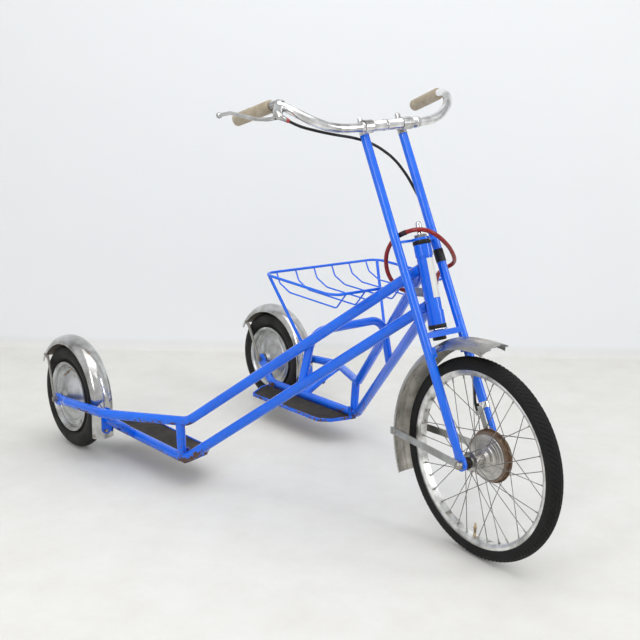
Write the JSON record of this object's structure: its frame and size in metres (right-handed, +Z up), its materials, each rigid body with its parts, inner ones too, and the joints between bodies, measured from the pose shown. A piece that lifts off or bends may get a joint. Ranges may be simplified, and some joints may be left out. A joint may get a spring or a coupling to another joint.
{
  "type": "three-wheel kick scooter",
  "caption": "Kick scooter with a large spoked front wheel, blue tube frame, twin foot decks, small silver rear wheels under mudguards, wide swept handlebar and a wire basket.",
  "frame": {"origin": "under the middle of the outline, on the floor", "axes": "+X ahead, +Y the rider's left, +Z up"},
  "size_m": [1.6456, 0.905, 1.0686],
  "materials": {
    "bar_chrome": "chrome plate",
    "basket_coating": "blue enamelled wire",
    "blue_paint": "blue gloss enamel, chipped",
    "bright_steel": "dull bright steel with rust",
    "cable_sheath": "black sheath",
    "deck_paint": "blue gloss enamel",
    "galvanised_disc": "silver coated pressed steel",
    "grip_rubber": "soft beige, matt",
    "lever_alloy": "polished alloy",
    "lock_plastic": "grey plastic",
    "lock_sheath": "red sheath",
    "mat_rubber": "ribbed matt rubber",
    "polished_steel": "polished, rusty inside",
    "tyre": "matt",
    "zinc_hardware": "zinc plate, partly rusty"
  },
  "bodies": {
    "frame": {"basket_rim": "basket_coating", "basket_stays": "basket_coating", "basket_wires": "basket_coating", "brace_left": "blue_paint", "brace_right": "blue_paint", "cross_arch": "blue_paint", "deck_left": "deck_paint", "deck_mat_left": "mat_rubber", "deck_mat_right": "mat_rubber", "deck_right": "deck_paint", "head_tube": "blue_paint", "headset": "bright_steel", "lock_body": "lock_plastic", "lock_cable": "lock_sheath", "lower_rail_left": "blue_paint", "lower_rail_right": "blue_paint", "mudguard_bracket_left": "blue_paint", "mudguard_bracket_right": "blue_paint", "mudguard_stays_left": "zinc_hardware", "mudguard_stays_right": "zinc_hardware", "post_left": "blue_paint", "post_right": "blue_paint", "rear_axle_left": "zinc_hardware", "rear_axle_right": "zinc_hardware", "rear_mudguard_left": "polished_steel", "rear_mudguard_right": "polished_steel", "upper_rail_left": "blue_paint", "upper_rail_right": "blue_paint"},
    "steering": {"bar_stem_left": "bar_chrome", "bar_stem_right": "bar_chrome", "brake_arm": "bright_steel", "brake_cable": "cable_sheath", "brake_lever": "lever_alloy", "brake_plate": "bright_steel", "cable_tape": "cable_sheath", "fork_blade_left": "blue_paint", "fork_blade_right": "blue_paint", "front_axle": "zinc_hardware", "front_mudguard": "blue_paint", "front_mudguard_stays": "zinc_hardware", "grip_left": "grip_rubber", "grip_right": "grip_rubber", "handlebar": "bar_chrome", "lever_bracket": "lever_alloy", "lower_bridge": "blue_paint", "steering_stem": "blue_paint", "torque_clamp": "bright_steel", "upper_bridge": "blue_paint"},
    "front_wheel": {"front_hub": "bright_steel", "front_rim": "bright_steel", "front_spokes": "bright_steel", "front_tyre": "tyre"},
    "rear_wheel_right": {"rear_tyre_right": "tyre", "rear_wheel_right": "galvanised_disc"},
    "rear_wheel_left": {"rear_tyre_left": "tyre", "rear_wheel_left": "galvanised_disc"}
  },
  "joints": [
    {"name": "steering_turn", "type": "hinge", "parent": "frame", "child": "steering", "pos_m": [0.428, 0, 0.521], "axis": [-0.3082, 0, 0.9513], "range_deg": [-20.7, 31.3], "deforming": ["lock_cable"]},
    {"name": "front_wheel_spin", "type": "hinge", "parent": "steering", "child": "front_wheel", "pos_m": [0.58439, -0.00575, 0.23921], "axis": [0.0879, 0.9957, 0.0285], "continuous": true},
    {"name": "rear_wheel_right_spin", "type": "hinge", "parent": "frame", "child": "rear_wheel_right", "pos_m": [-0.66436, -0.3785, 0.155], "axis": [0, 1, 0], "continuous": true},
    {"name": "rear_wheel_left_spin", "type": "hinge", "parent": "frame", "child": "rear_wheel_left", "pos_m": [-0.66436, 0.3785, 0.155], "axis": [0, 1, 0], "continuous": true}
  ]
}
